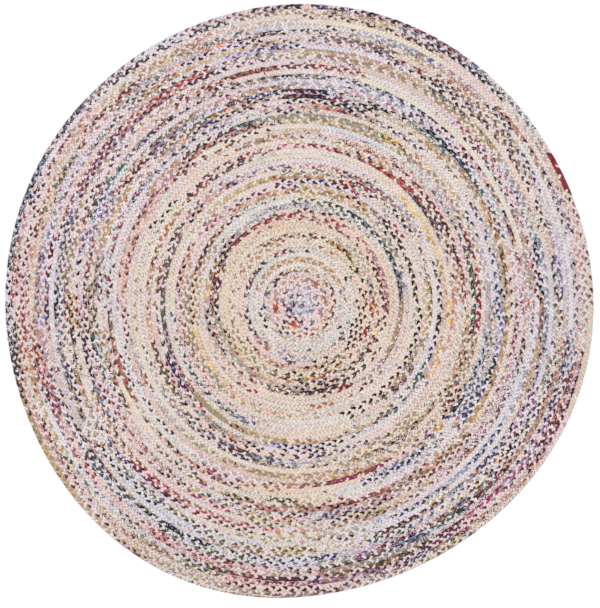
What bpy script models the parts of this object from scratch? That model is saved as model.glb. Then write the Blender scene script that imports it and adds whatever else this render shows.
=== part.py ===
"""Round rug of one long three-strand braid of cloth strips, wound flat from the middle
and sewn round on round. Metres, +Z up. It lies flat: its underside is the plane z = 0,
and the origin is the middle of its outline on that plane.

The braid starts in the middle, winds outwards anticlockwise seen from above, and its
end narrows to a tail that is tucked against the rim. Each round stands up as a low rib
with a groove on either side. The whole coil is one sewn piece, so it is one solid.
"""

import math

import bmesh
import bpy
from mathutils import Matrix, Vector

# Driving dimensions
ROUNDS = 60  # turns of the braid, counted outwards from the middle
BRAID_WIDTH = 0.01514  # also the distance from one round to the next
THICKNESS = 0.007  # underside to the crest of a round
GROOVE_DEPTH = 0.003  # the dip between two rounds
RIM_HEIGHT = 0.0035  # where the rug is widest
UNDERCUT = 0.002  # how far the rim draws in below, down to the underside
STEPS = 48  # points along one round

# The coil was started a little off the middle of the finished outline
COIL_START = Vector((0.0054, -0.0087))
OUTLINE_MIDDLE = Vector((-0.0051, -0.0013))

# Where the braid ends, and how much of a turn its tail narrows over
TAIL_ANGLE = math.radians(275)
TAIL_TURNS = 50 / 360

# The rug isn't a true circle: waves round the rim, how far each swells, where it peaks
UNEVENNESS = [
    # waves, swell in metres, peak in degrees
    (1, 0.0046, -16),
    (2, 0.0074, 68),
    (3, 0.0043, -5),
    (4, 0.0053, -19),
]

CREAM_COTTON = (0.70, 0.61, 0.53, 1.0)


def placed(turns, reach):
    """The point that is turns along the coil and reach rounds from its start."""
    share = reach / ROUNDS
    angle = TAIL_ANGLE + 2 * math.pi * turns
    radius = BRAID_WIDTH * reach
    for waves, swell, peak in UNEVENNESS:
        radius += swell * share**2 * math.cos(waves * (angle - math.radians(peak)))
    middle = COIL_START.lerp(OUTLINE_MIDDLE, min(share, 1))
    return middle + radius * Vector((math.cos(angle), math.sin(angle)))


def fullness(turns):
    """The braid's width here, from 1 down to 0 at the tip of its tail."""
    left = (ROUNDS - turns) / TAIL_TURNS
    return math.sin(min(left, 1) * math.pi / 2)


def groove_height(turns):
    """The outer edge of the last round is the rim; further in it is a groove."""
    return RIM_HEIGHT if turns >= ROUNDS - 1 else THICKNESS - GROOVE_DEPTH


def rib_point(turns, side):
    """A point across the braid: side 0 is its inner edge, 1 its crest, 2 its outer edge."""
    full = fullness(turns)
    place = placed(turns, turns + full * side / 2)
    inner = groove_height(turns - 1)
    if side == 0:
        height = inner
    elif side == 1:
        height = inner + (THICKNESS - inner) * full
    else:
        height = inner + (groove_height(turns) - inner) * full
    return (*place, height)


def wound_top(bm):
    """A long strip, three points wide, wound into the coil and sewn edge to edge."""
    length = ROUNDS * STEPS
    strip = bmesh.ops.create_grid(
        bm, x_segments=length, y_segments=2, size=1, matrix=Matrix.Translation((1, 1, 0))
    )
    for vert in strip["verts"]:
        turns = round(vert.co.x / 2 * length) / STEPS
        vert.co = rib_point(turns, round(vert.co.y))
    bmesh.ops.remove_doubles(bm, verts=bm.verts, dist=0.00005)


def open_edges(bm):
    return [edge for edge in bm.edges if edge.is_boundary]


def closed_middle(bm):
    """The braid's folded start, a low nub that fills the gap inside the first turn."""
    first_turn = [edge for edge in open_edges(bm)
                  if (edge.verts[0].co.xy - COIL_START).length < 2 * BRAID_WIDTH]
    filled = bmesh.ops.holes_fill(bm, edges=first_turn)["faces"]
    for peak in bmesh.ops.poke(bm, faces=filled)["verts"]:
        peak.co.z = THICKNESS


def closed_underside(bm):
    """The rim turned under, and the flat underside."""
    turned = bmesh.ops.extrude_edge_only(bm, edges=open_edges(bm))["geom"]
    for vert in (item for item in turned if isinstance(item, bmesh.types.BMVert)):
        outward = (vert.co.xy - OUTLINE_MIDDLE).normalized()
        vert.co = (*(vert.co.xy - outward * UNDERCUT), 0)
    bmesh.ops.holes_fill(bm, edges=open_edges(bm))


def cotton():
    material = bpy.data.materials.new("cream_cotton")
    material.use_nodes = True
    shader = material.node_tree.nodes["Principled BSDF"]
    shader.inputs["Base Color"].default_value = CREAM_COTTON
    shader.inputs["Roughness"].default_value = 0.9
    shader.inputs["Metallic"].default_value = 0.0
    return material


def braided_coil():
    bm = bmesh.new()
    wound_top(bm)
    closed_middle(bm)
    closed_underside(bm)
    bmesh.ops.recalc_face_normals(bm, faces=bm.faces)
    mesh = bpy.data.meshes.new("braided_coil")
    bm.to_mesh(mesh)
    bm.free()
    mesh.shade_smooth()
    mesh.set_sharp_from_angle(angle=math.radians(30))
    mesh.materials.append(cotton())
    return bpy.data.objects.new("braided_coil", mesh)


for leftover in list(bpy.data.objects):
    bpy.data.objects.remove(leftover)
rug = bpy.data.collections.new("braided_rug")
bpy.context.scene.collection.children.link(rug)
rug.objects.link(braided_coil())
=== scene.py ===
"""Round braided rug: one long three-strand braid of cut cotton strips in many colours,
wound flat from the middle outwards and sewn round on round. Metres, +Z up.
"""

import math
import random
from collections import namedtuple

import bmesh
import bpy
import numpy as np
from mathutils import Matrix, Vector


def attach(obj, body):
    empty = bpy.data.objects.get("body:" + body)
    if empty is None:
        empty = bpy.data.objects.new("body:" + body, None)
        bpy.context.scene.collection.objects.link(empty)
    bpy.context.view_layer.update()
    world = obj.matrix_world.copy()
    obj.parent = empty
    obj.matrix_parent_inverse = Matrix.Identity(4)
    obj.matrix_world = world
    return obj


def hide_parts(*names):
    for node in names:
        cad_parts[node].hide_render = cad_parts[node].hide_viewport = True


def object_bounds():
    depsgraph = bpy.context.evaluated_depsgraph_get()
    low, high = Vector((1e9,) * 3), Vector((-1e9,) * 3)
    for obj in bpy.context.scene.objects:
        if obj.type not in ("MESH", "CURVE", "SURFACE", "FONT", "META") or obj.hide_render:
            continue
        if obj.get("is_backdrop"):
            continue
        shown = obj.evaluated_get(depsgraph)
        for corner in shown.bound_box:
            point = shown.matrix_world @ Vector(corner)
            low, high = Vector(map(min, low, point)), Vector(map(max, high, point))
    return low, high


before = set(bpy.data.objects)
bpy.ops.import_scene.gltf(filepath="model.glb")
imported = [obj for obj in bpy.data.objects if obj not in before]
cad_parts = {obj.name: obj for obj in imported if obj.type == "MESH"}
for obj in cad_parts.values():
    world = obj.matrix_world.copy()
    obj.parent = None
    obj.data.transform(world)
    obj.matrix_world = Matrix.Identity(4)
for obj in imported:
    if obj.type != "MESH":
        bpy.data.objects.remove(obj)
cad_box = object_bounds()


# The braid's way round. The real braid is one flat plait some 174 m long, wound into a coil
# that starts a little off the middle and ends in a narrow tail tucked against the rim.

ROUNDS = 60  # turns of the braid, counted outwards from the middle
BRAID_WIDTH = 0.01514  # also the distance from one round to the next
COIL_START = Vector((0.0054, -0.0087))
OUTLINE_MIDDLE = Vector((-0.0051, -0.0013))
TAIL_DEGREE = 275  # where the braid ends; every round is counted from here
TAIL_ANGLE = math.radians(TAIL_DEGREE)
TAIL_TURNS = 50 / 360  # how much of a turn the tail narrows over
UNEVENNESS = [
    # waves round the rim, swell, where it peaks in degrees
    (1, 0.0046, -16),
    (2, 0.0074, 68),
    (3, 0.0043, -5),
    (4, 0.0053, -19),
]


def placed(turns, reach):
    """The point that is turns along the coil and reach braid widths from its start."""
    share = reach / ROUNDS
    angle = TAIL_ANGLE + 2 * math.pi * turns
    radius = BRAID_WIDTH * reach
    for waves, swell, peak in UNEVENNESS:
        radius += swell * share**2 * math.cos(waves * (angle - math.radians(peak)))
    middle = COIL_START.lerp(OUTLINE_MIDDLE, min(share, 1))
    return middle + radius * Vector((math.cos(angle), math.sin(angle)))


def fullness(turns):
    """The braid's width here, from 1 down to 0 at the tip of its tail."""
    left = (ROUNDS - turns) / TAIL_TURNS
    return math.sin(min(max(left, 0), 1) * math.pi / 2)


def middle_of_braid(turns):
    return placed(turns, turns + fullness(turns) / 2)


# The heart of the rug: inside the braid the strands press against each other as they cross.
# What shows of them, deep between the folds, is one ribbed layer of packed cotton.

HEART_CREST = 0.0046
HEART_GROOVE = 0.0030
HEART_UNDERSIDE = 0.0020
HEART_INSET = 0.2  # of a braid's width, at the rim and along the tail
HEART_STEPS = 36  # points along one round
SEAM_GAP = 0.00005  # the edges of two rounds that lie this close are sewn into one
HEART_TONES = [
    # how far up the ramp, colour
    (0.30, (0.500, 0.400, 0.370)),
    (0.42, (0.660, 0.570, 0.520)),
    (0.52, (0.740, 0.660, 0.610)),
    (0.62, (0.660, 0.610, 0.610)),
    (0.74, (0.740, 0.680, 0.630)),
]


def heart_point(turns, side):
    """A point across the braid: side 0 is its inner edge, 1 its crest, 2 its outer edge."""
    width = fullness(turns)
    if turns >= ROUNDS - 1 and side == 2:
        width *= 1 - HEART_INSET
    place = placed(turns, turns + width * side / 2)
    height = HEART_CREST if side == 1 else HEART_GROOVE
    return (*place, height)


def heart_mesh():
    bm = bmesh.new()
    length = ROUNDS * HEART_STEPS
    strip = bmesh.ops.create_grid(
        bm, x_segments=length, y_segments=2, size=1, matrix=Matrix.Translation((1, 1, 0))
    )
    for vert in strip["verts"]:
        turns = round(vert.co.x / 2 * length) / HEART_STEPS
        vert.co = heart_point(turns, round(vert.co.y))
    bmesh.ops.remove_doubles(bm, verts=bm.verts, dist=SEAM_GAP)

    def open_edges():
        return [edge for edge in bm.edges if edge.is_boundary]

    first_turn = [edge for edge in open_edges()
                  if (edge.verts[0].co.xy - COIL_START).length < 2 * BRAID_WIDTH]
    bmesh.ops.holes_fill(bm, edges=first_turn)
    turned = bmesh.ops.extrude_edge_only(bm, edges=open_edges())["geom"]
    for vert in (item for item in turned if isinstance(item, bmesh.types.BMVert)):
        vert.co.z = HEART_UNDERSIDE
    bmesh.ops.holes_fill(bm, edges=open_edges())
    bmesh.ops.recalc_face_normals(bm, faces=bm.faces)
    mesh = bpy.data.meshes.new("packed_heart")
    bm.to_mesh(mesh)
    bm.free()
    mesh.shade_smooth()
    return mesh


def packed_cotton():
    """Many colours pressed together: patches the size of a fold, with a soft weave."""
    material = bpy.data.materials.new("packed_cotton")
    material.use_nodes = True
    nodes = material.node_tree.nodes
    links = material.node_tree.links
    shader = nodes["Principled BSDF"]
    shader.inputs["Roughness"].default_value = 0.92
    place = nodes.new("ShaderNodeTexCoord")
    patches = nodes.new("ShaderNodeTexNoise")
    patches.inputs["Scale"].default_value = 130
    patches.inputs["Detail"].default_value = 1
    tones = nodes.new("ShaderNodeValToRGB")
    for at, _ in HEART_TONES[2:]:
        tones.color_ramp.elements.new(at)
    for element, (at, colour) in zip(tones.color_ramp.elements, HEART_TONES):
        element.position = at
        element.color = (*colour, 1)
    threads = nodes.new("ShaderNodeTexNoise")
    threads.inputs["Scale"].default_value = 1400
    bump = nodes.new("ShaderNodeBump")
    bump.inputs["Strength"].default_value = 0.4
    bump.inputs["Distance"].default_value = 0.0003
    links.new(place.outputs["Object"], patches.inputs["Vector"])
    links.new(place.outputs["Object"], threads.inputs["Vector"])
    links.new(patches.outputs["Fac"], tones.inputs["Fac"])
    links.new(tones.outputs["Color"], shader.inputs["Base Color"])
    links.new(threads.outputs["Fac"], bump.inputs["Height"])
    links.new(bump.outputs["Normal"], shader.inputs["Normal"])
    return material


heart = bpy.data.objects.new("packed_heart", heart_mesh())
heart.data.materials.append(packed_cotton())
bpy.context.scene.collection.objects.link(heart)
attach(heart, "root")
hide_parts("braided_coil")


# The cloth strips: scraps of cotton, mostly pale, some printed and some in strong colours. They
# are cut to the width of a hand, sewn end to end and folded in, edge to middle, as they are braided.

STRANDS = 3
FOLD_STEP = 0.00645  # along the braid, from one fold to the next
PALE_LENGTHS = (0.10, 0.45)  # of braid from one seam to the next, shortest and longest
STRONG_LENGTHS = (0.04, 0.27)
STRIP_BULKS = (0.96, 1.12)  # thin and thick strips: how much of its own place a fold takes up
PRINT_RANGE = (0.36, 0.47)  # the cloth's noise below this shows the print
PRINT_UNEVEN = 0.05  # how much of a print shows varies from fold to fold
SECOND_COLOUR = 0.33  # share of a printed scrap's folds that show its second colour
PALE_BACKED = 0.30  # share of the coloured scraps whose pale back shows in one of the columns
TURNED_OVER = 0.12  # share of the folds where the strip lies the other way up
SOLID_STRONG = 0.16  # share of the strong scraps that colour their folds from end to end
SOLID_MUTED = 0.55
PATCH_REACH = (0.30, 0.06)  # the others colour this much of a fold either way: mean and spread
PATCH_MIDDLE = 0.58  # where along the fold their colour is
PALE_UNEVEN = 0.03  # how much the light that a cloth gives back varies from fold to fold
STRONG_UNEVEN = 0.20
DARKEST = 0.5  # of the cloth's own light
CHARTED_BULK = 1.10
CHARTED_PRINTS = (0, 0.36, 0.42)
CHARTED_CHANGES = 5  # in each turn, from one of these prints to the next
SCRAP_SEED = 11
PILE_PULL = 9  # how much commoner a pile's own kind of cloth is in it
PILES = {
    # a pile of scraps: its kind of cloth, or every kind alike, and its shares of printed, muted
    # and strong scraps
    "white": ("cool", 0.18, 0.03, 0.03),
    "ivory": ("warm", 0.18, 0.05, 0.03),
    "blush": ("rosy", 0.28, 0.10, 0.05),
    "beige": ("warm", 0.42, 0.34, 0.14),
    "earthy": ("warm", 0.50, 0.22, 0.40),
    "ruddy": ("rosy", 0.50, 0.19, 0.48),
    "bluish": ("cool", 0.50, 0.19, 0.48),
    "motley": ("every", 0.50, 0.18, 0.52),
}
WASHED = 0.862  # how much light the washed cloth gives back of its colour

# Where along the braid the cotton is creamier: round, share of the blue light that it keeps back
CREAMIER = [(0, -0.08), (5, 0), (9, 0.12), (18, 0.12), (24, 0), (36, 0.04), (48, -0.06), (56, -0.02)]
CREAMIER_GREEN = 0.2  # of the green light it keeps back this part of that share

# Which pile the braid was fed from: round, from which degree, pile
PILES_USED = [
    (0, 275, "white"), (2, 330, "blush"), (5, 330, "beige"), (7, 275, "ivory"), (7, 60, "white"),
    (8, 275, "blush"), (8, 20, "ivory"), (8, 100, "white"), (10, 95, "bluish"), (10, 225, "white"),
    (11, 275, "ivory"), (11, 60, "blush"), (12, 275, "ivory"), (12, 110, "ruddy"), (12, 240, "earthy"),
    (13, 95, "ivory"), (13, 235, "earthy"), (14, 275, "ruddy"), (14, 345, "beige"), (14, 30, "ivory"),
    (14, 195, "earthy"), (15, 5, "ivory"), (15, 200, "ruddy"), (16, 45, "ivory"), (16, 150, "motley"),
    (16, 245, "bluish"), (17, 275, "motley"), (17, 350, "ruddy"), (17, 195, "motley"),
    (18, 275, "ruddy"), (18, 315, "ivory"), (18, 45, "bluish"), (18, 135, "motley"), (18, 200, "ivory"),
    (19, 275, "ruddy"), (19, 305, "white"), (19, 20, "bluish"), (19, 120, "blush"), (20, 275, "earthy"),
    (20, 340, "bluish"), (20, 75, "white"), (20, 130, "ivory"), (21, 275, "earthy"), (21, 320, "blush"),
    (21, 350, "bluish"), (21, 50, "white"), (21, 110, "beige"), (22, 275, "ivory"), (22, 0, "motley"),
    (22, 70, "blush"), (22, 160, "beige"), (22, 235, "ivory"), (23, 355, "earthy"), (23, 90, "blush"),
    (23, 150, "beige"), (23, 235, "ivory"), (24, 30, "motley"), (24, 95, "blush"), (24, 235, "ivory"),
    (25, 275, "beige"), (25, 20, "bluish"), (25, 60, "earthy"), (25, 110, "ivory"), (25, 160, "bluish"),
    (25, 240, "ivory"), (26, 275, "earthy"), (26, 10, "motley"), (26, 80, "ivory"), (27, 275, "white"),
    (27, 0, "blush"), (27, 90, "motley"), (27, 200, "earthy"), (28, 275, "bluish"), (28, 10, "white"),
    (28, 110, "motley"), (28, 240, "bluish"), (29, 325, "ivory"), (29, 120, "blush"),
    (29, 200, "motley"), (30, 275, "ivory"), (30, 90, "motley"), (30, 165, "ruddy"), (31, 275, "blush"),
    (31, 340, "ruddy"), (31, 115, "ivory"), (31, 205, "bluish"), (32, 275, "ivory"),
    (32, 340, "motley"), (32, 75, "ivory"), (32, 195, "bluish"), (33, 275, "ivory"), (33, 350, "ruddy"),
    (33, 75, "earthy"), (33, 110, "ivory"), (34, 275, "beige"), (34, 350, "blush"), (34, 80, "beige"),
    (34, 120, "white"), (34, 215, "beige"), (35, 330, "motley"), (35, 25, "white"), (35, 85, "ruddy"),
    (35, 165, "blush"), (35, 245, "beige"), (36, 275, "earthy"), (36, 345, "ruddy"), (36, 30, "beige"),
    (36, 90, "ruddy"), (36, 160, "white"), (36, 235, "ruddy"), (37, 330, "ivory"), (37, 35, "earthy"),
    (37, 95, "motley"), (37, 145, "white"), (37, 230, "ruddy"), (37, 250, "ivory"), (38, 275, "bluish"),
    (38, 350, "white"), (38, 30, "ivory"), (38, 80, "bluish"), (38, 110, "white"), (38, 165, "motley"),
    (38, 225, "ruddy"), (38, 250, "ivory"), (39, 275, "white"), (39, 290, "bluish"), (39, 350, "white"),
    (39, 50, "ruddy"), (39, 80, "white"), (39, 110, "motley"), (39, 215, "ivory"), (40, 275, "white"),
    (40, 305, "bluish"), (40, 25, "earthy"), (40, 55, "blush"), (40, 90, "motley"), (40, 190, "ivory"),
    (40, 235, "earthy"), (41, 275, "white"), (41, 300, "bluish"), (41, 350, "beige"), (41, 55, "white"),
    (41, 68, "motley"), (41, 245, "ruddy"), (42, 305, "beige"), (42, 50, "bluish"), (42, 115, "ruddy"),
    (42, 155, "motley"), (42, 250, "bluish"), (43, 275, "earthy"), (43, 320, "ivory"),
    (43, 10, "bluish"), (43, 60, "motley"), (43, 190, "ruddy"), (44, 275, "motley"), (44, 305, "blush"),
    (44, 350, "white"), (44, 10, "bluish"), (44, 75, "blush"), (44, 110, "white"), (44, 150, "ruddy"),
    (44, 210, "ivory"), (45, 275, "earthy"), (45, 305, "blush"), (45, 0, "bluish"), (45, 85, "motley"),
    (45, 165, "earthy"), (45, 215, "ruddy"), (46, 275, "blush"), (46, 355, "ivory"), (46, 90, "motley"),
    (46, 215, "ruddy"), (46, 245, "beige"), (47, 275, "white"), (47, 350, "ruddy"), (47, 15, "motley"),
    (47, 45, "ivory"), (47, 80, "ruddy"), (47, 150, "beige"), (47, 190, "motley"), (47, 230, "ivory"),
    (48, 275, "white"), (48, 288, "bluish"), (48, 350, "ruddy"), (48, 40, "blush"), (48, 75, "white"),
    (48, 110, "beige"), (48, 155, "ivory"), (48, 200, "beige"), (48, 240, "ivory"), (49, 275, "white"),
    (49, 300, "beige"), (49, 340, "bluish"), (49, 20, "beige"), (49, 90, "ruddy"), (49, 132, "white"),
    (49, 155, "bluish"), (49, 205, "white"), (49, 240, "beige"), (50, 275, "earthy"),
    (50, 320, "bluish"), (50, 15, "beige"), (50, 95, "ruddy"), (50, 160, "white"), (50, 230, "beige"),
    (51, 275, "bluish"), (51, 310, "white"), (51, 5, "ivory"), (51, 45, "white"), (51, 110, "blush"),
    (51, 155, "motley"), (51, 220, "bluish"), (52, 275, "bluish"), (52, 300, "bluish"),
    (52, 350, "ivory"), (52, 45, "motley"), (52, 90, "beige"), (52, 125, "bluish"), (52, 150, "blush"),
    (52, 195, "bluish"), (53, 275, "motley"), (53, 310, "earthy"), (53, 340, "bluish"),
    (53, 20, "beige"), (53, 75, "blush"), (53, 160, "ruddy"), (54, 275, "bluish"), (54, 310, "ruddy"),
    (54, 332, "white"), (54, 25, "beige"), (54, 75, "motley"), (54, 150, "beige"), (54, 180, "ruddy"),
    (55, 275, "bluish"), (55, 302, "blush"), (55, 320, "bluish"), (55, 350, "white"),
    (55, 20, "motley"), (55, 62, "white"), (55, 100, "beige"), (55, 160, "ruddy"), (55, 190, "white"),
    (55, 240, "ruddy"), (56, 330, "white"), (56, 15, "motley"), (56, 45, "blush"), (56, 100, "beige"),
    (56, 125, "ruddy"), (56, 190, "beige"), (56, 235, "ruddy"), (57, 345, "blush"), (57, 50, "ivory"),
    (57, 130, "ruddy"), (57, 160, "ivory"), (57, 200, "ruddy"), (58, 275, "earthy"), (58, 310, "ruddy"),
    (58, 340, "beige"), (58, 95, "white"), (58, 140, "ruddy"), (58, 190, "beige"), (58, 250, "ruddy"),
    (59, 275, "earthy"), (59, 310, "blush"), (59, 10, "motley"), (59, 95, "blush"), (59, 130, "bluish"),
    (59, 185, "beige"), (59, 230, "motley"),
]

# Display colours, 0 to 255, how common each is, and its kind
PALE_CLOTHS = {
    "bleached": ((239, 231, 231), 16, "cool"),
    "lilac_white": ((231, 220, 230), 13, "cool"),
    "ice": ((222, 223, 230), 5, "cool"),
    "stone": ((218, 206, 206), 6, "cool"),
    "pearl": ((229, 228, 222), 8, "cool"),
    "unbleached": ((236, 223, 217), 14, "warm"),
    "cream": ((238, 226, 215), 14, "warm"),
    "lemon": ((238, 228, 208), 5, "warm"),
    "oatmeal": ((227, 209, 192), 7, "warm"),
    "peach": ((240, 211, 192), 5, "warm"),
    "blush": ((240, 217, 212), 14, "rosy"),
    "shell": ((238, 217, 221), 12, "rosy"),
    "rose_beige": ((229, 199, 190), 7, "rosy"),
}
MUTED_CLOTHS = {
    "mauve_grey": ((194, 176, 188), 6, "cool"),
    "dove": ((180, 180, 196), 5, "cool"),
    "pewter": ((142, 146, 160), 4, "cool"),
    "clay": ((208, 168, 146), 8, "rosy"),
    "faded_rose": ((206, 152, 148), 6, "rosy"),
    "heather": ((168, 142, 174), 3, "rosy"),
    "sand": ((212, 184, 144), 9, "warm"),
    "tan": ((190, 152, 112), 8, "warm"),
    "sage": ((158, 158, 128), 4, "warm"),
    "taupe": ((158, 136, 118), 5, "warm"),
}
STRONG_CLOTHS = {
    "crimson": ((154, 46, 60), 7, "rosy"),
    "dark_red": ((116, 40, 48), 7, "rosy"),
    "maroon": ((90, 34, 42), 13, "rosy"),
    "salmon": ((220, 158, 134), 4, "rosy"),
    "rose": ((196, 118, 122), 3, "rosy"),
    "magenta": ((162, 50, 108), 1, "rosy"),
    "plum": ((92, 38, 80), 7, "rosy"),
    "brick": ((152, 80, 62), 8, "warm"),
    "rust": ((172, 110, 78), 7, "warm"),
    "orange": ((216, 134, 88), 2, "warm"),
    "vermilion": ((198, 88, 58), 0.4, "warm"),
    "mustard": ((196, 160, 98), 5, "warm"),
    "amber": ((238, 180, 66), 0.3, "warm"),
    "gold": ((224, 188, 118), 4, "warm"),
    "olive": ((104, 100, 52), 5, "warm"),
    "chocolate": ((74, 44, 38), 14, "warm"),
    "indigo": ((58, 44, 98), 3, "cool"),
    "violet": ((112, 92, 166), 3, "cool"),
    "navy": ((40, 38, 78), 11, "cool"),
    "royal": ((56, 72, 132), 2, "cool"),
    "sky": ((132, 168, 200), 2, "cool"),
    "slate": ((98, 94, 114), 5, "cool"),
    "teal": ((56, 88, 98), 6, "cool"),
    "bottle": ((46, 56, 50), 4, "cool"),
    "green": ((74, 108, 80), 3, "cool"),
    "charcoal": ((74, 54, 58), 6, "cool"),
    "black": ((33, 17, 20), 18, "cool"),
}
CLOTHS = {**PALE_CLOTHS, **MUTED_CLOTHS, **STRONG_CLOTHS}
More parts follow.
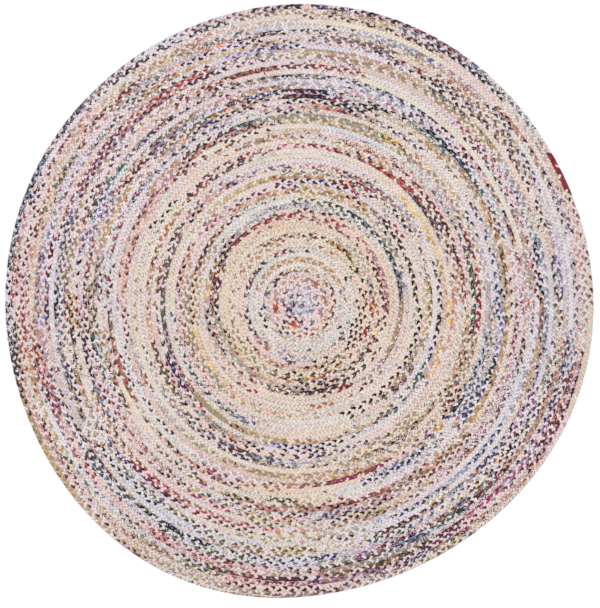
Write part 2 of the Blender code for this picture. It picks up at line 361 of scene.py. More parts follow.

# Where strips stand out on this rug: round, from and to in degrees. They show as a patch
# on each fold of one strand, or with a 2 all over one strand, or with a 3 all over all three.
CHARTED_STRIPS = {
    "lemon": [(46, 14, 74, 3), (56, 60, 90, 3), (15, 2, 45, 2), (39, 205, 225, 3)],
    "blush": [(56, 45, 60, 3), (3, 275, 640, 2), (29, 50, 90, 2)],
    "oatmeal": [(48, 55, 75, 3), (59, 338, 366, 3)],
    "ice": [(9, 150, 200, 2), (9, 290, 350, 3), (10, 290, 340), (1, 0, 90), (2, 275, 360)],
    "dove": [(1, 275, 400, 2)],
    "mauve_grey": [(2, 330, 620)],
    "pewter": [(0, 275, 560, 2), (1, 200, 330)],
    "crimson": [
        (59, 23, 31, 3), (36, 0, 8, 2), (36, 10, 26), (17, 0, 142), (31, 46, 113), (47, 74, 87),
        (55, 125, 146), (50, 112, 135), (51, 165, 187), (43, 135, 184), (54, 214, 223), (50, 212, 220),
        (27, 200, 222), (57, 232, 236), (56, 236, 245), (56, 253, 270), (53, 235, 243), (45, 236, 265),
        (37, 240, 252), (31, 246, 252, 2), (28, 226, 231), (15, 228, 242), (54, 308, 321),
        (43, 276, 288), (19, 293, 303, 2), (15, 287, 300), (13, 296, 316, 2), (17, 63, 102),
        (16, 60, 100), (10, 108, 165), (56, 343, 345, 2), (36, 351, 358, 2), (14, 326, 335, 2),
        (9, 3, 9), (19, 230, 250), (42, 106, 112, 2), (26, 50, 64), (57, 275, 292),
    ],
    "dark_red": [
        (49, 134, 156, 2), (47, 91, 125), (27, 117, 124, 2), (38, 173, 178, 2), (57, 206, 222),
        (53, 297, 315), (41, 275, 285), (36, 140, 158),
    ],
    "maroon": [
        (59, 0, 22), (56, 14, 24), (52, 26, 45), (48, 0, 16), (40, 25, 31), (33, 18, 45), (23, 40, 67),
        (20, 0, 10), (57, 60, 90), (39, 52, 72), (49, 98, 135), (57, 152, 162), (57, 168, 180),
        (42, 135, 150), (35, 158, 195), (28, 146, 165), (24, 158, 177), (11, 140, 147), (40, 195, 212),
        (37, 197, 208), (17, 178, 190), (57, 256, 275, 2), (56, 276, 296), (58, 280, 300),
        (27, 240, 248), (36, 325, 335), (57, 318, 330), (21, 303, 317), (9, 276, 280), (9, 325, 331),
        (58, 105, 130), (42, 262, 290), (36, 96, 120), (16, 0, 45), (1, 5, 40), (0, 170, 230),
        (50, 290, 305), (53, 288, 300), (55, 262, 275),
    ],
    "brick": [
        (54, 47, 49), (54, 53, 56), (11, 66, 71), (55, 152, 168), (57, 181, 196), (54, 184, 196),
        (34, 204, 212), (23, 180, 229), (54, 248, 262), (38, 229, 240), (14, 248, 270), (42, 285, 297),
        (37, 276, 295, 2), (14, 300, 320), (57, 335, 348), (36, 343, 352), (24, 151, 158),
        (16, 150, 160), (55, 275, 300), (15, 210, 225),
    ],
    "rust": [
        (42, 20, 45), (33, 45, 72), (40, 150, 160), (38, 198, 213, 2), (17, 190, 195),
        (36, 262, 275, 2), (30, 127, 161, 2), (27, 262, 290, 2), (10, 230, 236), (21, 276, 295, 2),
        (15, 350, 362, 2), (15, 275, 290), (16, 236, 241),
    ],
    "orange": [
        (57, 4, 12), (4, 155, 170), (47, 197, 210), (22, 233, 241), (52, 286, 290), (40, 322, 326, 2),
        (46, 318, 321, 2), (14, 350, 364, 2), (43, 306, 311), (21, 137, 140), (55, 63, 65),
        (11, 271, 274), (46, 358, 361),
    ],
    "vermilion": [(4, 46, 66, 2), (4, 0, 18), (4, 180, 202, 3), (3, 244, 260, 3), (10, 216, 232)],
    "rose": [(1, 70, 110), (45, 0, 22), (43, 62, 78), (53, 76, 83), (24, 135, 145), (55, 169, 172)],
    "magenta": [
        (41, 76, 82, 2), (24, 61, 66), (23, 126, 145), (46, 224, 232, 2), (42, 205, 225),
        (40, 240, 245), (37, 242, 247), (53, 283, 297), (6, 288, 297), (30, 22, 24),
    ],
    "plum": [
        (6, 318, 390), (57, 280, 314), (54, 284, 300), (39, 73, 78, 2), (42, 123, 135), (45, 124, 135),
        (23, 90, 125), (35, 100, 116), (47, 137, 150), (43, 195, 212), (31, 238, 243), (17, 284, 296),
        (50, 333, 345), (44, 108, 112), (51, 180, 186), (52, 95, 104), (10, 96, 112),
    ],
    "violet": [(51, 92, 107), (51, 165, 178, 2), (52, 163, 172), (44, 150, 165), (53, 170, 186)],
    "lilac_white": [(59, 112, 124, 3)],
    "indigo": [
        (24, 68, 87, 2), (40, 356, 361, 2), (5, 281, 287, 2), (6, 183, 195), (21, 149, 152),
        (32, 304, 306, 3), (59, 186, 200), (1, 185, 235), (10, 185, 218, 2),
    ],
    "navy": [
        (54, 24, 32), (52, 0, 11), (10, 28, 50, 2), (20, 48, 56), (10, 53, 57), (10, 82, 86),
        (59, 90, 100), (53, 98, 117), (59, 138, 160), (52, 135, 145), (48, 195, 205), (51, 258, 275),
        (28, 263, 277), (39, 290, 311), (24, 339, 341, 2), (50, 328, 333), (38, 90, 101), (41, 83, 96),
        (44, 180, 200), (6, 106, 136, 2), (1, 240, 275), (53, 317, 350), (44, 283, 286),
    ],
    "royal": [
        (40, 0, 20, 2), (51, 245, 250, 2), (50, 317, 326, 2), (48, 322, 330, 2), (40, 326, 338, 2),
        (49, 155, 160), (45, 160, 172), (39, 148, 151), (1, 105, 130), (40, 116, 118),
    ],
    "sky": [(20, 58, 60, 2), (54, 90, 93), (40, 128, 133), (50, 308, 315)],
    "slate": [
        (54, 33, 45, 2), (53, 68, 88), (58, 50, 70), (59, 97, 120), (27, 147, 178), (48, 158, 190),
        (6, 165, 172), (38, 182, 190), (54, 205, 213), (32, 211, 231), (31, 258, 262), (14, 337, 343),
        (56, 345, 360), (1, 330, 360), (0, 275, 420), (1, 120, 190), (1, 240, 275), (19, 105, 109),
        (59, 122, 140), (58, 95, 112), (59, 132, 146),
    ],
    "teal": [
        (59, 36, 55), (43, 17, 45), (50, 45, 60), (42, 45, 60), (19, 61, 66), (53, 122, 135),
        (56, 214, 217, 2), (52, 195, 230), (25, 195, 215), (54, 293, 310), (45, 143, 158),
        (48, 226, 240), (13, 166, 174), (49, 351, 358), (30, 125, 127), (57, 14, 22), (27, 180, 192),
        (0, 60, 150), (2, 340, 360),
    ],
    "bottle": [
        (56, 1, 8), (23, 0, 45), (42, 67, 85), (30, 109, 114), (18, 121, 126), (45, 182, 187),
        (39, 262, 270), (29, 290, 295), (12, 248, 252), (7, 180, 200),
    ],
    "green": [
        (37, 60, 68), (30, 99, 104), (30, 117, 121), (41, 167, 200), (13, 191, 197), (13, 210, 216),
        (39, 234, 240), (11, 255, 265), (12, 274, 287), (29, 305, 313), (11, 319, 323), (11, 331, 335),
    ],
    "olive": [
        (37, 53, 57), (37, 62, 72), (41, 117, 135), (45, 108, 116), (28, 136, 143), (58, 185, 195),
        (56, 278, 300, 2), (30, 196, 218), (40, 226, 240), (29, 232, 240), (43, 255, 262),
        (18, 150, 166), (13, 118, 125), (44, 256, 275), (46, 278, 294), (54, 275, 290), (49, 245, 275),
        (50, 248, 272), (52, 243, 262),
    ],
    "mustard": [(29, 0, 31), (42, 325, 360), (52, 340, 348), (18, 318, 322), (43, 325, 330)],
    "amber": [
        (29, 9, 46), (29, 40, 46), (30, 329, 333, 2), (30, 335, 345), (30, 353, 361, 2),
        (37, 58, 64, 2), (38, 318, 321, 2), (42, 312, 314, 2), (16, 335, 341),
    ],
    "gold": [
        (41, 110, 112), (55, 116, 124), (18, 167, 180, 2), (21, 195, 225, 2), (52, 303, 325),
        (54, 148, 153), (57, 167, 170), (34, 266, 270),
    ],
    "tan": [
        (42, 0, 20, 2), (41, 46, 53), (33, 92, 112), (25, 92, 108), (41, 143, 165), (50, 249, 268),
        (42, 325, 350),
    ],
    "taupe": [(55, 100, 118), (55, 275, 300, 2), (57, 276, 292, 2), (49, 185, 210), (26, 317, 331)],
    "chocolate": [
        (52, 17, 24), (52, 45, 62), (13, 65, 88), (14, 0, 30), (46, 285, 353), (17, 204, 214),
        (15, 200, 210), (13, 256, 262), (5, 237, 246), (7, 281, 286), (26, 317, 331), (16, 319, 322),
        (57, 62, 80),
    ],
    "charcoal": [
        (27, 193, 207), (40, 250, 258), (26, 2, 14), (31, 25, 45), (55, 245, 275), (59, 55, 80),
        (58, 118, 140),
    ],
    "black": [
        (23, 0, 46, 2), (59, 161, 186), (49, 0, 15, 2), (47, 21, 45), (41, 0, 12), (12, 0, 40),
        (58, 45, 65), (51, 45, 52), (51, 56, 62), (51, 65, 71), (41, 68, 73), (41, 83, 96),
        (58, 105, 130), (45, 90, 96), (42, 97, 105), (41, 97, 108), (36, 96, 135), (27, 95, 106),
        (6, 108, 134), (49, 161, 185), (51, 167, 176), (38, 168, 173), (27, 135, 146), (18, 135, 150),
        (10, 131, 175), (5, 140, 152), (51, 207, 214), (44, 190, 215), (36, 211, 231), (18, 184, 202),
        (6, 234, 246), (7, 204, 216), (4, 218, 234), (56, 246, 255), (51, 232, 248), (51, 250, 257),
        (43, 231, 240), (17, 231, 234), (13, 262, 268, 2), (13, 275, 278, 2), (13, 284, 311),
        (24, 289, 360, 2), (34, 297, 330), (31, 276, 280), (50, 345, 360), (38, 325, 330),
        (38, 336, 344), (12, 320, 360), (56, 292, 306), (53, 288, 300), (11, 330, 375), (6, 320, 325),
        (28, 349, 356), (10, 158, 175), (41, 270, 285), (33, 151, 157), (44, 276, 296), (45, 278, 292),
    ],
}


Scrap = namedtuple("Scrap", "end cloth print_cloth amount second back pale_column solid bulk")
Fold = namedtuple("Fold", "turns strand column cloth print_cloth amount light bulk reach")


def turns_at(length):
    """How many turns the braid has made after this length of it."""
    return math.sqrt(length / (math.pi * BRAID_WIDTH) + 0.25) - 0.5


def length_at(turns):
    return math.pi * BRAID_WIDTH * ((turns + 0.5) ** 2 - 0.25)


def coil_turns(coil_round, degree):
    """Where along the coil this degree of this round is. A round starts where the tail ends."""
    return coil_round + (degree - TAIL_DEGREE) % 360 / 360


def piles():
    """The piles that the braid was fed from, one after another: where each ends, and its mix."""
    ends = [length_at(coil_turns(*pile[:2])) for pile in PILES_USED[1:]] + [length_at(ROUNDS + 1)]
    for end, (_, _, name) in zip(ends, PILES_USED):
        yield end, PILES[name]


def picked(cloths, kind, chance):
    """One of these cloths by name, more often one of the pile's own kind."""
    weights = [share * (PILE_PULL if own == kind else 1) for _, share, own in cloths.values()]
    return chance.choices(list(cloths), weights)[0]


def scraps(strand):
    """Scrap after scrap along one strand, each with the length of braid where it ends."""
    chance = random.Random(SCRAP_SEED + 1 + strand)
    end = 0
    for pile_end, (kind, printed_share, muted_share, strong_share) in piles():
        while end < pile_end:
            draw = chance.random()
            end += chance.uniform(*(STRONG_LENGTHS if draw < strong_share else PALE_LENGTHS))
            if draw < strong_share:
                cloth = picked(STRONG_CLOTHS, kind, chance)
            elif draw < strong_share + muted_share:
                cloth = picked(MUTED_CLOTHS, kind, chance)
            else:
                cloth = picked(PALE_CLOTHS, kind, chance)
            back = picked(PALE_CLOTHS, kind, chance)
            solid_share = SOLID_STRONG if cloth in STRONG_CLOTHS else SOLID_MUTED
            solid = cloth in PALE_CLOTHS or chance.random() < solid_share
            print_cloth = picked(STRONG_CLOTHS, kind, chance)
            if cloth in STRONG_CLOTHS or not solid:
                print_cloth = back
            amount = chance.uniform(*PRINT_RANGE) if chance.random() < printed_share else 0
            one_faced = cloth not in PALE_CLOTHS and chance.random() < PALE_BACKED
            pale_column = chance.choice([0, 1]) if one_faced else None
            second = picked(STRONG_CLOTHS, kind, chance)
            bulk = chance.uniform(*STRIP_BULKS)
            yield Scrap(end, cloth, print_cloth, amount, second, back, pale_column, solid, bulk)


def strip_chart():
    """For each strand, by degrees along the coil: the cloth charted there, and if it shows all over."""
    chart = [{} for _ in range(STRANDS)]
    next_strand = 0
    for cloth, strips in CHARTED_STRIPS.items():
        for coil_round, start, stop, *showing in strips:
            first = coil_round * 360 + (start - TAIL_DEGREE) % 360
            for _ in range(STRANDS if showing == [3] else 1):
                for degree in range(first, first + stop - start):
                    chart[next_strand % STRANDS][degree] = (cloth, bool(showing))
                next_strand += 1
    return chart


def fold_list():
    """Each fold of the braid, in order from the middle outwards."""
    chance = random.Random(SCRAP_SEED)
    chart = strip_chart()
    running = [scraps(strand) for strand in range(STRANDS)]
    current = [next(run) for run in running]
    folds = []
    while True:
        length = len(folds) * FOLD_STEP
        turns = turns_at(length)
        if turns >= ROUNDS:
            return folds
        strand = len(folds) % STRANDS
        column = len(folds) % 2
        while current[strand].end < length:
            current[strand] = next(running[strand])
        _, cloth, print_cloth, amount, second, back, pale_column, solid, bulk = current[strand]
        if print_cloth != back and chance.random() < SECOND_COLOUR:
            print_cloth = second
        turned_over = chance.random() < TURNED_OVER
        if turned_over or column == pale_column:
            cloth = back
            amount = 0
        charted, all_over = chart[strand].get(round(turns * 360), (None, False))
        if charted and not turned_over:
            cloth = charted
            which_print = int(turns * CHARTED_CHANGES) % len(CHARTED_PRINTS)
            amount = 0 if all_over else CHARTED_PRINTS[which_print]
            bulk = CHARTED_BULK
            solid = all_over or cloth not in STRONG_CLOTHS
            if cloth in STRONG_CLOTHS:
                print_cloth = back
        if amount:
            amount += chance.gauss(0, PRINT_UNEVEN)
        uneven = STRONG_UNEVEN if cloth in STRONG_CLOTHS else PALE_UNEVEN
        light = WASHED * max(chance.gauss(1, uneven), DARKEST)
        reach = 1 if solid else chance.gauss(*PATCH_REACH)
        folds.append(Fold(turns, strand, column, cloth, print_cloth, amount, light, bulk, reach))


def linear(display):
    """A display colour as the light that the cloth gives back."""
    return [((value / 255 + 0.055) / 1.055) ** 2.4 for value in display]


def cotton_light(cloth, turns, light):
    """The light that a fold of this cloth gives back here, red to blue, and its opacity."""
    creamier = np.interp(turns, *zip(*CREAMIER))
    red, green, blue = linear(CLOTHS[cloth][0])
    green *= 1 - creamier * CREAMIER_GREEN
    blue *= 1 - creamier
    return (red * light, green * light, blue * light, 1)


# A fold: where a strand crosses over the braid it shows as a soft slanted fold. It comes up from
# under the next one, lies over the one before and turns down at the edge. The underside's are alike.

MID_HEIGHT = 0.0035  # of the rug, half its thickness up
UPPER_ROWS = [
    # out from the braid's middle, along it, half its width along it, heights from back to front
    (-0.0050, 0.0085, 0, [0.0019]),
    (-0.0014, 0.0040, 0.0060, [0.0062, 0.0065, 0.0056, 0.0044]),
    (0.0046, -0.0020, 0.0070, [0.0050, 0.0062, 0.0060, 0.0047]),
    (0.0077, -0.0046, 0.0069, [0.0040, 0.0046, 0.0045, 0.0038]),
]
UNDER_ROWS = [
    (-0.0050, 0.0085, 0, [0.0019]),
    (-0.0014, 0.0040, 0.0060, [0.0061, 0.0063, 0.0044]),
    (0.0046, -0.0020, 0.0070, [0.0049, 0.0063, 0.0046]),
    (0.0077, -0.0046, 0.0069, [0.0040, 0.0038]),
]
SIDES = {1: [0], 2: [-1, 1], 3: [-1, 0, 1], 4: [-1, -0.45, 0.45, 1]}  # by the points in a row
CELL_MARGIN = 0.05  # of a fold's cell in the UV map, kept free round it
CELL_SPLIT = 0.28  # below it, the fold's hidden side
CELL_CAP = (0.86, 0.95)  # along the cell, where its end is laid out


def stitched(near, far):
    """Triangles between two rows of points, which may differ in number."""
    i = j = 0
    while i < len(near) - 1 or j < len(far) - 1:
        next_near = (i + 1) / (len(near) - 1) if len(near) > 1 else math.inf
        next_far = (j + 1) / (len(far) - 1) if len(far) > 1 else math.inf
        if next_near <= next_far:
            yield near[i], near[i + 1], far[j]
            i += 1
        else:
            yield near[i], far[j + 1], far[j]
            j += 1


def fold_mesh(name, given_rows, inner, under):
    """One fold, closed below and at its end. Its cell in the UV map is filled edge to edge."""
    bm = bmesh.new()
    across = bm.verts.layers.float_vector.new("across_fold")
    cell = bm.loops.layers.uv.new("fold_cell")
    rows = []
    for number, (out, along, half, heights) in enumerate(given_rows):
        row = []
        for side, height in zip(SIDES[len(heights)], heights):
            vert = bm.verts.new((out, along + half * side, height))
            vert[across] = (side, number / (len(given_rows) - 1), 0)
            row.append(vert)
        rows.append(row)

    def face(corners, low, high, stop):
        made = bm.faces.new(corners)
        made.smooth = True
        for loop in made.loops:
            side, share, _ = loop.vert[across]
            u = CELL_MARGIN + (stop - CELL_MARGIN) * share
            v = low + CELL_MARGIN + (high - low - 2 * CELL_MARGIN) * (side + 1) / 2
            loop[cell].uv = (u, v)
        return made

    for near, far in zip(rows, rows[1:]):
        for corners in stitched(near, far):
            face(corners, CELL_SPLIT, 1, 1 - CELL_MARGIN)
        hidden_side = dict.fromkeys((near[0], far[0], far[-1], near[-1]))
        face(hidden_side, 0, CELL_SPLIT, CELL_CAP[0] - CELL_MARGIN)
    if len(rows[-1]) > 2:
        cap = face(rows[-1], 0, CELL_SPLIT, 1)
        for loop in cap.loops:
            outer_side = abs(loop.vert[across][0]) == 1
            loop[cell].uv.x = CELL_CAP[0] if outer_side else CELL_CAP[1]
    bmesh.ops.recalc_face_normals(bm, faces=bm.faces)
    if inner:
        bmesh.ops.scale(bm, vec=(-1, 1, 1), verts=bm.verts)
        bmesh.ops.reverse_faces(bm, faces=bm.faces)
    if under:
        turned = Matrix.Translation((0, 0, 2 * MID_HEIGHT)) @ Matrix.Rotation(math.pi, 4, "X")
        bmesh.ops.transform(bm, matrix=turned, verts=bm.verts)
    mesh = bpy.data.meshes.new(name)
    bm.to_mesh(mesh)
    bm.free()
    return mesh


def fold_guide(name, rows, inner, under):
    """A fold to copy: an object that isn't shown and goes once the strands are made."""
    return bpy.data.objects.new(name, fold_mesh(name, rows, inner, under))


# The strands: each of the three shows as thousands of folds along the coil, some to the outer
# and some to the inner edge, a little uneven in size and lie as they are pulled tight by hand.

def math_node(tree, operation, *values):
    node = tree.nodes.new("ShaderNodeMath")
    node.operation = operation
    for socket, value in zip(node.inputs, values):
        if isinstance(value, bpy.types.NodeSocket):
            tree.links.new(value, socket)
        else:
            socket.default_value = value
    return node.outputs[0]


def named(tree, name, kind):
    node = tree.nodes.new("GeometryNodeInputNamedAttribute")
    node.data_type = kind
    node.inputs["Name"].default_value = name
    return node.outputs["Attribute"]


def chance_node(tree, low, high, seed, salt):
    """A random number for each fold, its seed the tree's own plus this draw's salt."""
    node = tree.nodes.new("FunctionNodeRandomValue")
    node.data_type = "FLOAT"
    node.inputs[2].default_value = low
    node.inputs[3].default_value = high
    tree.links.new(math_node(tree, "ADD", seed, salt), node.inputs["Seed"])
    return node.outputs[1]


def strand_tree():
    """Folds along a strand, from its places: turned with the coil, scaled, laid out in cells."""
    tree = bpy.data.node_groups.new("strand_folds", "GeometryNodeTree")
    tree.is_modifier = True
    for name, kind in [
        ("Places", "NodeSocketGeometry"), ("Outer fold", "NodeSocketObject"),
        ("Inner fold", "NodeSocketObject"), ("Size spread", "NodeSocketFloat"),
        ("Turn spread", "NodeSocketFloat"), ("Lift", "NodeSocketFloat"),
        ("Cells", "NodeSocketInt"), ("Seed", "NodeSocketInt"), ("Cloth", "NodeSocketMaterial"),
    ]:
        tree.interface.new_socket(name, in_out="INPUT", socket_type=kind)
    tree.interface.new_socket("Strand", in_out="OUTPUT", socket_type="NodeSocketGeometry")
    link = tree.links.new
    given = tree.nodes.new("NodeGroupInput").outputs
    size = named(tree, "size", "FLOAT")
    seed = given["Seed"]

    lift = tree.nodes.new("ShaderNodeCombineXYZ")
    raised = math_node(tree, "MULTIPLY", chance_node(tree, -1, 1, seed, 1), given["Lift"])
    link(raised, lift.inputs["Z"])
    lifted = tree.nodes.new("GeometryNodeSetPosition")
    link(given["Places"], lifted.inputs["Geometry"])
    link(lift.outputs[0], lifted.inputs["Offset"])

    angles = tree.nodes.new("ShaderNodeCombineXYZ")
    for axis, salt in (("X", 2), ("Y", 3), ("Z", 4)):
        chance = chance_node(tree, -1, 1, seed, salt)
        swing = math_node(tree, "MULTIPLY", chance, given["Turn spread"])
        if axis == "Z":
            swing = math_node(tree, "ADD", swing, named(tree, "heading", "FLOAT"))
        link(swing, angles.inputs[axis])
    turned = tree.nodes.new("FunctionNodeEulerToRotation")
    link(angles.outputs[0], turned.inputs[0])

    sizes = tree.nodes.new("ShaderNodeCombineXYZ")
    for axis, salt in (("X", 5), ("Y", 6), ("Z", 7)):
        chance = chance_node(tree, -1, 1, seed, salt)
        swing = math_node(tree, "MULTIPLY", chance, given["Size spread"])
        scale = math_node(tree, "MULTIPLY", math_node(tree, "ADD", swing, 1), size)
        if axis != "Z":
            scale = math_node(tree, "MULTIPLY", scale, named(tree, "bulk", "FLOAT"))
        link(scale, sizes.inputs[axis])

    joined = tree.nodes.new("GeometryNodeJoinGeometry")
    for fold, side in (("Outer fold", 0), ("Inner fold", 1)):
        shape = tree.nodes.new("GeometryNodeObjectInfo")
        link(given[fold], shape.inputs["Object"])
        in_column = tree.nodes.new("FunctionNodeCompare")
        in_column.data_type = "INT"
        in_column.operation = "EQUAL"
        link(named(tree, "column", "INT"), in_column.inputs["A"])
        in_column.inputs["B"].default_value = side
        on_points = tree.nodes.new("GeometryNodeInstanceOnPoints")
        link(lifted.outputs[0], on_points.inputs["Points"])
        link(in_column.outputs[0], on_points.inputs["Selection"])
        link(shape.outputs["Geometry"], on_points.inputs["Instance"])
        link(turned.outputs[0], on_points.inputs["Rotation"])
        link(sizes.outputs[0], on_points.inputs["Scale"])
        link(on_points.outputs[0], joined.inputs[0])

    real = tree.nodes.new("GeometryNodeRealizeInstances")
    link(joined.outputs[0], real.inputs[0])

    number = named(tree, "cell", "INT")
    corner = tree.nodes.new("ShaderNodeCombineXYZ")
    link(math_node(tree, "MODULO", number, given["Cells"]), corner.inputs["X"])
    cell_row = math_node(tree, "DIVIDE", number, given["Cells"])
    link(math_node(tree, "FLOOR", cell_row), corner.inputs["Y"])
    moved = tree.nodes.new("ShaderNodeVectorMath")
    link(corner.outputs[0], moved.inputs[0])
    link(named(tree, "fold_cell", "FLOAT_VECTOR"), moved.inputs[1])
    shrunk = tree.nodes.new("ShaderNodeVectorMath")
    shrunk.operation = "SCALE"
    link(moved.outputs[0], shrunk.inputs[0])
    link(math_node(tree, "DIVIDE", 1.0, given["Cells"]), shrunk.inputs["Scale"])
    mapped = tree.nodes.new("GeometryNodeStoreNamedAttribute")
    mapped.data_type = "FLOAT2"
    mapped.domain = "CORNER"
    mapped.inputs["Name"].default_value = "OFBake"
    link(real.outputs[0], mapped.inputs["Geometry"])
    link(shrunk.outputs[0], mapped.inputs["Value"])

    flow = mapped.outputs[0]
    for name in ("fold_cell", "cell", "column", "heading", "size", "bulk"):
        dropped = tree.nodes.new("GeometryNodeRemoveAttribute")
        dropped.inputs["Name"].default_value = name
        link(flow, dropped.inputs[0])
        flow = dropped.outputs[0]
    covered = tree.nodes.new("GeometryNodeSetMaterial")
    link(flow, covered.inputs["Geometry"])
    link(given["Cloth"], covered.inputs["Material"])
    link(covered.outputs[0], tree.nodes.new("NodeGroupOutput").inputs[0])
    return tree


def clamped(value):
    """This math node's result, kept between 0 and 1."""
    value.node.use_clamp = True
    return value


FLECK_SHARPNESS = 34
PATCH_SHARPNESS = 14
PATCH_WOBBLE = 0.5  # how raggedly a patch ends, in lengths of a fold
CREASE_SWING = 2.4  # how far a crease wanders across a fold, 2 being its whole width
CREASE_WIDTH = 0.16
# The next two are painted shade: how far the colour along each crease is darkened, and the dark tone it
# goes towards
CREASE_PAINTED_SHADE = 0.35
CREASE_PAINTED_SHADE_TONE = (0.42, 0.36, 0.35, 1)
CREASE_DEPTH = 1.2
WEAVE_DEPTH = 0.5
WORN_SHADE = 0.35
WORN_TONE = (0.72, 0.68, 0.68, 1)


def cotton_strip():
    """Soft matt cotton: each fold's own cloth, its print in flecks, creases along the fold, bumped and
    darkened in the colour with painted shade.
    """
    material = bpy.data.materials.new("cotton_strip")
    material.use_nodes = True
    tree = material.node_tree
    nodes = tree.nodes
    link = tree.links.new
    shader = nodes["Principled BSDF"]
    shader.inputs["Roughness"].default_value = 0.88
    shader.inputs["Sheen Weight"].default_value = 0.08
    shader.inputs["Sheen Roughness"].default_value = 0.6
    shader.inputs["Specular IOR Level"].default_value = 0.2

    def attribute(name, output):
        node = nodes.new("ShaderNodeAttribute")
        node.attribute_name = name
        return node.outputs[output]

    place = nodes.new("ShaderNodeTexCoord").outputs["Object"]

    def noise(scale, detail):
        node = nodes.new("ShaderNodeTexNoise")
        node.inputs["Scale"].default_value = scale
        node.inputs["Detail"].default_value = detail
        link(place, node.inputs["Vector"])
        return node.outputs["Fac"]

    def mix(blend, factor, first, second):
        node = nodes.new("ShaderNodeMix")
        node.data_type = "RGBA"
        node.blend_type = blend
        sockets = (node.inputs[0], node.inputs[6], node.inputs[7])
        for socket, value in zip(sockets, (factor, first, second)):
            if isinstance(value, bpy.types.NodeSocket):
                link(value, socket)
            else:
                socket.default_value = value
        return node.outputs[2]

    print_noise = noise(scale=245, detail=1.5)
    fleck = math_node(tree, "SUBTRACT", attribute("printed", "Fac"), print_noise)
    fleck_edge = clamped(math_node(tree, "MULTIPLY_ADD", fleck, FLECK_SHARPNESS, 0.5))
    fold = nodes.new("ShaderNodeSeparateXYZ")
    link(attribute("across_fold", "Vector"), fold.inputs[0])
    ragged = noise(scale=330, detail=1)
    along = math_node(tree, "MULTIPLY_ADD", ragged, PATCH_WOBBLE, fold.outputs["Y"])
    off_middle = math_node(tree, "SUBTRACT", along, PATCH_MIDDLE + PATCH_WOBBLE / 2)
    from_middle = math_node(tree, "ABSOLUTE", off_middle)
    beyond = math_node(tree, "SUBTRACT", from_middle, attribute("reach", "Fac"))
    patch_edge = clamped(math_node(tree, "MULTIPLY_ADD", beyond, PATCH_SHARPNESS, 0.5))
    shows_print = math_node(tree, "MAXIMUM", fleck_edge, patch_edge)
    coloured = mix("MIX", shows_print, attribute("cloth", "Color"), attribute("print", "Color"))

    wander = noise(scale=90, detail=0)
    crease_at = math_node(tree, "MULTIPLY_ADD", wander, CREASE_SWING, -CREASE_SWING / 2)
    off_crease = math_node(tree, "SUBTRACT", fold.outputs["X"], crease_at)
    from_crease = math_node(tree, "ABSOLUTE", off_crease)
    crease_share = math_node(tree, "DIVIDE", from_crease, CREASE_WIDTH)
    crease = clamped(math_node(tree, "SUBTRACT", 1, crease_share))
    # Painted shade in the crease: the cloth's colour is darkened along it, on top of the crease's bump
    painted_crease_shade = math_node(tree, "MULTIPLY", crease, CREASE_PAINTED_SHADE)
    painted_crease_shaded = mix("MULTIPLY", painted_crease_shade, coloured, CREASE_PAINTED_SHADE_TONE)
    wear = mix("MIX", noise(scale=28, detail=3), WORN_TONE, (1, 1, 1, 1))
    link(mix("MULTIPLY", WORN_SHADE, painted_crease_shaded, wear), shader.inputs["Base Color"])

    weave = math_node(tree, "MULTIPLY", noise(scale=900, detail=2), WEAVE_DEPTH)
    relief = math_node(tree, "MULTIPLY_ADD", crease, -CREASE_DEPTH, weave)
    bump = nodes.new("ShaderNodeBump")
    bump.inputs["Strength"].default_value = 0.5
    bump.inputs["Distance"].default_value = 0.0005
    link(relief, bump.inputs["Height"])
    link(bump.outputs["Normal"], shader.inputs["Normal"])
    return material


SIZE_SPREAD = 0.05
TURN_SPREAD = math.radians(3.5)
LIFT_SPREAD = 0.00022
PULL_SEED = 5
HALF_WAY = 42.4  # in rounds: the upper folds are two pieces of like size
AHEAD = 0.002  # in turns, how far on and back the braid's direction is taken
TIP_SIZE = 0.25  # of the folds at the tip of the tail
UNDER_LAG = 1.5  # in steps, how far the underside's folds lie behind the upper ones


def heading(turns):
    """The way outwards from the braid, as an angle."""
    ahead = middle_of_braid(turns + AHEAD) - middle_of_braid(turns - AHEAD)
    return math.atan2(ahead.y, ahead.x) - math.pi / 2


def places_mesh(name, folds, behind):
    """One point for each fold, with what the tree and the cloth need to know of it."""
    mesh = bpy.data.meshes.new(name)
    places = [middle_of_braid(max(fold.turns - behind(fold.turns), 0)) for fold in folds]
    mesh.from_pydata([(*place, 0) for place in places], [], [])

    def keep(attribute_name, kind, values):
        attribute = mesh.attributes.new(attribute_name, kind, "POINT")
        field = "color" if kind == "FLOAT_COLOR" else "value"
        number = np.int32 if kind == "INT" else float
        attribute.data.foreach_set(field, np.array(list(values), number).ravel())

    def lights(cloths):
        return [cotton_light(cloth, fold.turns, fold.light) for cloth, fold in zip(cloths, folds)]

    keep("size", "FLOAT", (TIP_SIZE + (1 - TIP_SIZE) * fullness(fold.turns) for fold in folds))
    keep("bulk", "FLOAT", (fold.bulk for fold in folds))
    keep("heading", "FLOAT", (heading(fold.turns) for fold in folds))
    keep("printed", "FLOAT", (fold.amount for fold in folds))
    keep("reach", "FLOAT", (fold.reach for fold in folds))
    keep("cloth", "FLOAT_COLOR", lights(fold.cloth for fold in folds))
    keep("print", "FLOAT_COLOR", lights(fold.print_cloth for fold in folds))
    keep("column", "INT", (fold.column for fold in folds))
    keep("cell", "INT", range(len(folds)))
    return mesh


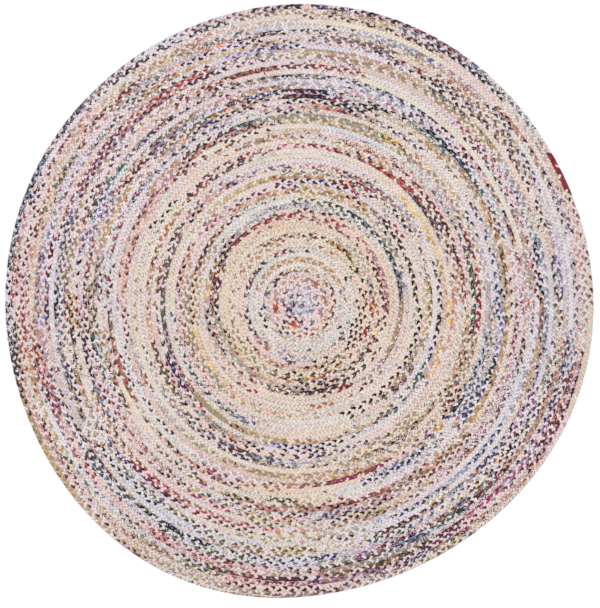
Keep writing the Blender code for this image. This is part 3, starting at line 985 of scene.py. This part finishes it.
def strand_piece(name, folds, outer, inner, behind, cloth, tree):
    guide = bpy.data.objects.new(name + "_places", places_mesh(name + "_places", folds, behind))
    bpy.context.scene.collection.objects.link(guide)
    wound = guide.modifiers.new("folds", "NODES")
    wound.node_group = tree
    inputs = {item.name: item.identifier for item in tree.interface.items_tree if item.in_out == "INPUT"}
    wound[inputs["Outer fold"]] = outer
    wound[inputs["Inner fold"]] = inner
    wound[inputs["Size spread"]] = SIZE_SPREAD
    wound[inputs["Turn spread"]] = TURN_SPREAD
    wound[inputs["Lift"]] = LIFT_SPREAD
    wound[inputs["Cells"]] = math.ceil(math.sqrt(len(folds)))
    wound[inputs["Seed"]] = PULL_SEED
    wound[inputs["Cloth"]] = cloth
    evaluated = guide.evaluated_get(bpy.context.evaluated_depsgraph_get())
    mesh = bpy.data.meshes.new_from_object(evaluated)
    mesh.name = name
    piece = bpy.data.objects.new(name, mesh)
    bpy.context.scene.collection.objects.link(piece)
    bpy.data.objects.remove(guide)
    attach(piece, "root")
    return piece


upper_outer = fold_guide("upper_outer_fold", UPPER_ROWS, inner=False, under=False)
upper_inner = fold_guide("upper_inner_fold", UPPER_ROWS, inner=True, under=False)
under_outer = fold_guide("under_outer_fold", UNDER_ROWS, inner=False, under=True)
under_inner = fold_guide("under_inner_fold", UNDER_ROWS, inner=True, under=True)
folds_tree = strand_tree()
cotton = cotton_strip()
all_folds = fold_list()


def nothing_behind(turns):
    return 0


def half_a_crossing_behind(turns):
    """The underside's folds lie between the upper ones: how far back, in turns."""
    return UNDER_LAG * FOLD_STEP / (2 * math.pi * BRAID_WIDTH * (turns + 0.5))


for strand in range(STRANDS):
    own = [fold for fold in all_folds if fold.strand == strand]
    middle = [fold for fold in own if fold.turns < HALF_WAY]
    rim = [fold for fold in own if fold.turns >= HALF_WAY]
    label = f"strand_{strand + 1}"
    for part, folds, outer, inner, behind in [
        ("_middle", middle, upper_outer, upper_inner, nothing_behind),
        ("_rim", rim, upper_outer, upper_inner, nothing_behind),
        ("_under", own, under_outer, under_inner, half_a_crossing_behind),
    ]:
        strand_piece(label + part, folds, outer, inner, behind, cotton, folds_tree)
for guide in (upper_outer, upper_inner, under_outer, under_inner):
    bpy.data.objects.remove(guide)


# The studio: a plain pale floor, a broad soft light overhead and a weaker one from the side, and
# the camera straight above the rug.

PHOTO_WIDTH = 600
PHOTO_HEIGHT = 608
METRES_PER_PIXEL = 0.003106
RUG_MIDDLE_PIXEL = (299.4, 300.9)
CAMERA_HEIGHT = 6.0
FLOOR_SIZE = 40
FLOOR_DEPTH = -0.0006
FLOOR_TONE = (0.93, 0.93, 0.93, 1)
SKY_STRENGTH = 0.75
SENSOR_WIDTH = 36
LIGHTS = [
    # name, place, width, power
    ("overhead_light", (-1.2, 1.8, 6.0), 3.6, 190),
    ("side_light", (3.2, -2.4, 4.5), 3.0, 60),
]


def studio_floor():
    mesh = bpy.data.meshes.new("floor")
    half = FLOOR_SIZE / 2
    corners = [(-half, -half), (half, -half), (half, half), (-half, half)]
    mesh.from_pydata([(x, y, FLOOR_DEPTH) for x, y in corners], [], [(0, 1, 2, 3)])
    material = bpy.data.materials.new("pale_floor")
    material.use_nodes = True
    shader = material.node_tree.nodes["Principled BSDF"]
    shader.inputs["Base Color"].default_value = FLOOR_TONE
    shader.inputs["Roughness"].default_value = 0.95
    shader.inputs["Specular IOR Level"].default_value = 0.0
    mesh.materials.append(material)
    floor = bpy.data.objects.new("floor", mesh)
    bpy.context.scene.collection.objects.link(floor)
    floor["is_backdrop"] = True


def soft_light(name, place, width, power):
    data = bpy.data.lights.new(name, "AREA")
    data.shape = "DISK"
    data.size = width
    data.energy = power
    light = bpy.data.objects.new(name, data)
    light.location = place
    light.rotation_mode = "QUATERNION"
    light.rotation_quaternion = (-Vector(place)).to_track_quat("-Z", "Y")
    bpy.context.scene.collection.objects.link(light)


def sky():
    world = bpy.data.worlds.new("studio")
    bpy.context.scene.world = world
    world.use_nodes = True
    background = world.node_tree.nodes["Background"]
    background.inputs["Color"].default_value = (1, 1, 1, 1)
    background.inputs["Strength"].default_value = SKY_STRENGTH


def camera_above():
    data = bpy.data.cameras.new("camera")
    data.sensor_width = SENSOR_WIDTH
    data.lens = SENSOR_WIDTH * CAMERA_HEIGHT / (PHOTO_HEIGHT * METRES_PER_PIXEL)
    camera = bpy.data.objects.new("camera", data)
    camera.location = (
        (PHOTO_WIDTH / 2 - RUG_MIDDLE_PIXEL[0]) * METRES_PER_PIXEL,
        (RUG_MIDDLE_PIXEL[1] - PHOTO_HEIGHT / 2) * METRES_PER_PIXEL,
        CAMERA_HEIGHT,
    )
    bpy.context.scene.collection.objects.link(camera)
    bpy.context.scene.camera = camera


studio_floor()
for light in LIGHTS:
    soft_light(*light)
sky()
camera_above()
bpy.context.scene.view_settings.view_transform = "Standard"

boxes = {"cad": cad_box, "visual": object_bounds()}
{name: [list(corner) for corner in box] for name, box in boxes.items()}
